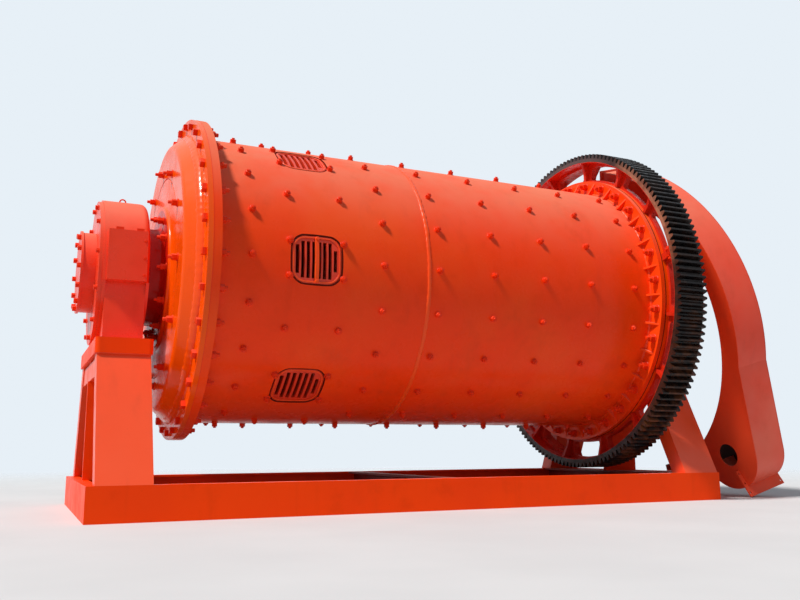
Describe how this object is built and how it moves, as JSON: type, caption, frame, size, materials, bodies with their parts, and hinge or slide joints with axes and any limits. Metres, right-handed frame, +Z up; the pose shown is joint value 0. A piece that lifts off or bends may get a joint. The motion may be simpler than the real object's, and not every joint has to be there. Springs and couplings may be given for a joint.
{
  "type": "rod mill",
  "caption": "Grinding drum with grated shell and girth gear, turning in pedestal bearings on a channel base, with half of its gear guard leaning at one end.",
  "frame": {"origin": "on the ground plane below the middle of the base's length, under the drum's axis, at the underside of the middle cross beam", "axes": "+X along the drum's axis from the plain end to the geared end, +Y to the back, +Z up"},
  "size_m": [5.8036, 2.8998, 3.1479],
  "materials": {
    "drum_paint": "glossy sprayed enamel over weld seams and rolled plate",
    "base_paint": "glossy sprayed enamel over steel sections",
    "guard_paint": "thin sprayed enamel on sheet steel",
    "grate_paint": "enamel over rough castings",
    "gear_iron": "greased cut teeth, painted web"
  },
  "bodies": {
    "base": {"near_rail": "base_paint", "far_rail": "base_paint", "left_end_beam": "base_paint", "right_end_beam": "base_paint", "left_cross_beam": "base_paint", "middle_cross_beam": "base_paint", "right_cross_beam": "base_paint", "left_near_leg": "base_paint", "left_far_leg": "base_paint", "left_center_post": "base_paint", "left_top_beam": "base_paint", "left_cap_block": "base_paint", "right_near_leg": "base_paint", "right_far_leg": "base_paint", "right_center_post": "base_paint", "right_top_beam": "base_paint", "right_cap_block": "base_paint", "left_lower_housing": "base_paint", "left_upper_housing": "base_paint", "left_cover_ring": "base_paint", "left_end_cap": "base_paint", "right_lower_housing": "base_paint", "right_upper_housing": "base_paint", "right_cover_ring": "base_paint", "right_end_cap": "base_paint", "guard_left_plate": "guard_paint", "guard_right_plate": "guard_paint", "guard_outer_wall": "guard_paint", "guard_top_flange": "guard_paint", "guard_bottom_flange": "guard_paint", "guard_foot_flange": "guard_paint"},
    "drum": {"left_shell_course": "drum_paint", "right_shell_course": "drum_paint", "left_shell_flange": "drum_paint", "right_shell_flange": "drum_paint", "left_head": "drum_paint", "right_head": "drum_paint", "left_trunnion": "drum_paint", "right_trunnion": "drum_paint", "upper_gear_half": "gear_iron", "lower_gear_half": "gear_iron", "grate_1": "grate_paint", "grate_2": "grate_paint", "grate_3": "grate_paint", "grate_4": "grate_paint", "grate_5": "grate_paint", "grate_6": "grate_paint", "grate_7": "grate_paint"}
  },
  "joints": [
    {"name": "drum_spin", "type": "hinge", "parent": "base", "child": "drum", "pos_m": [0, 0, 1.698], "axis": [1, 0, 0], "continuous": true}
  ]
}
